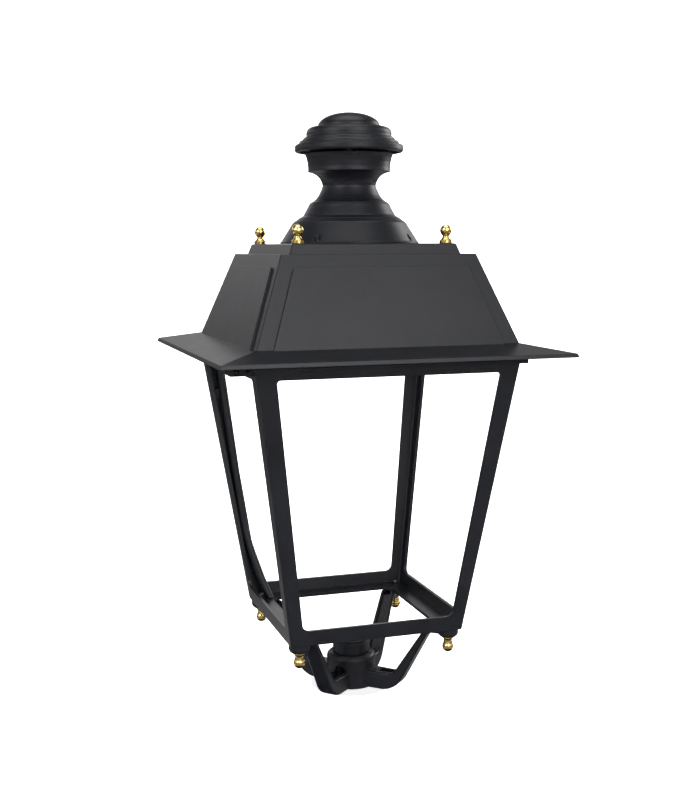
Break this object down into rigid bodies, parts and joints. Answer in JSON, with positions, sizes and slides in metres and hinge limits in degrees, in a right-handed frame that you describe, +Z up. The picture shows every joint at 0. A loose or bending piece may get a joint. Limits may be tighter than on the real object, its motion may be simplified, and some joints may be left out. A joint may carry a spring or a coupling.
{
  "type": "post top lantern",
  "caption": "Square tapered post top lantern: open cast cage with hinged roof, round vented chimney, ball finials and a four-armed post socket.",
  "frame": {"origin": "centre of the mouth of the post socket, at the underside of the collar and arms", "axes": "+Z up the post's centre line, -Y the front, -X the hinge side of the roof, +X its lock side"},
  "size_m": [0.4, 0.4, 0.6907],
  "materials": {
    "black_coat": "fine-textured satin black powder coat on cast aluminium",
    "polished_brass": "polished and lacquered",
    "steel": "plain stainless",
    "black_steel": "blackened stainless",
    "seal": "soft EPDM",
    "white_tray": "white powder coat",
    "bare_aluminium": "as extruded",
    "board": "white solder mask",
    "lens": "clear moulded acrylic",
    "clear_glass": "tempered, clear",
    "plastic_white": "moulded housing"
  },
  "bodies": {
    "cage": {"lantern_cage": "black_coat", "post_spider": "black_coat", "foot_studs": "steel", "foot_nuts": "black_steel", "foot_finials": "polished_brass", "cable_conduit": "black_coat", "conduit_saddles": "black_coat", "hinge_screws": "black_steel", "hinge_nuts": "steel"},
    "roof": {"roof_shell": "black_coat", "roof_gasket": "seal", "roof_finials": "polished_brass", "chimney_bell": "black_coat", "bell_screws": "black_steel", "chimney_collar": "black_coat", "chimney_cap": "black_coat", "tie_rod": "steel", "clamp_bar": "steel", "rod_nut": "steel", "gear_tray": "white_tray", "tray_screws": "steel", "led_heat_sink": "bare_aluminium", "led_board": "board", "led_lenses": "lens", "lamp_gasket": "seal", "lamp_glass": "clear_glass", "lamp_bezel": "white_tray", "bezel_screws": "steel", "led_driver": "plastic_white", "surge_protector": "plastic_white", "terminal_block": "plastic_white"},
    "lock": {"lock_screw": "polished_brass"},
    "grub_front": {"grub_screw_front": "black_steel"},
    "grub_back": {"grub_screw_back": "black_steel"}
  },
  "joints": [
    {"name": "roof_hinge", "type": "hinge", "parent": "cage", "child": "roof", "pos_m": [-0.1703, 0, 0.405], "axis": [0, -1, 0], "range_deg": [0, 95]},
    {"name": "lock_screw_travel", "type": "slide", "parent": "cage", "child": "lock", "axis": [0, 0, 1], "range_m": [0, 0.008]},
    {"name": "grub_front_travel", "type": "slide", "parent": "cage", "child": "grub_front", "axis": [0.7071, 0.7071, 0], "range_m": [0, 0.005]},
    {"name": "grub_back_travel", "type": "slide", "parent": "cage", "child": "grub_back", "axis": [-0.7071, -0.7071, 0], "range_m": [0, 0.005]}
  ]
}
